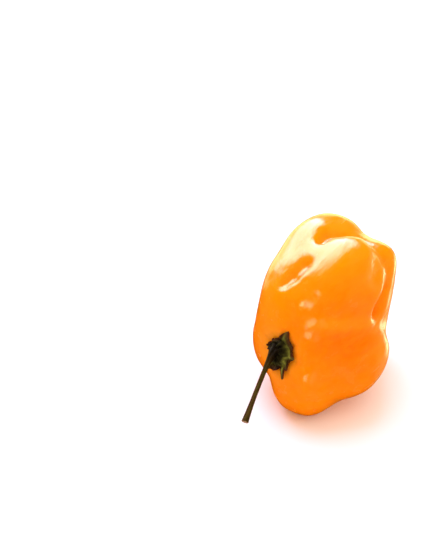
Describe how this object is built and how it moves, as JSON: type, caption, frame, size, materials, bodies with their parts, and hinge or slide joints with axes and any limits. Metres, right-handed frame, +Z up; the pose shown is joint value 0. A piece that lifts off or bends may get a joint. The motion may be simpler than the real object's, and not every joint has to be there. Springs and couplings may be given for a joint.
{
  "type": "habanero pepper",
  "caption": "Orange lantern-shaped habanero pepper lying on its side, with folded glossy lobes, a toothed green calyx and a cut stalk.",
  "frame": {"origin": "on the surface that the pepper rests on, under the middle of the pod, inside its flat spot", "axes": "+Z up, +Y along the pod from the stalk to the blossom end, +X to the right seen from the stalk"},
  "size_m": [0.0345, 0.0616, 0.0408],
  "materials": {
    "skin": "waxy, glossy, slightly translucent orange pepper skin",
    "calyx": "matt dry green leaf with brown edges",
    "stalk": "matt ribbed brown-green stem with a pale dry cut end"
  },
  "bodies": {
    "root": {"pod": "skin", "calyx": "calyx", "stalk": "stalk"}
  },
  "joints": []
}
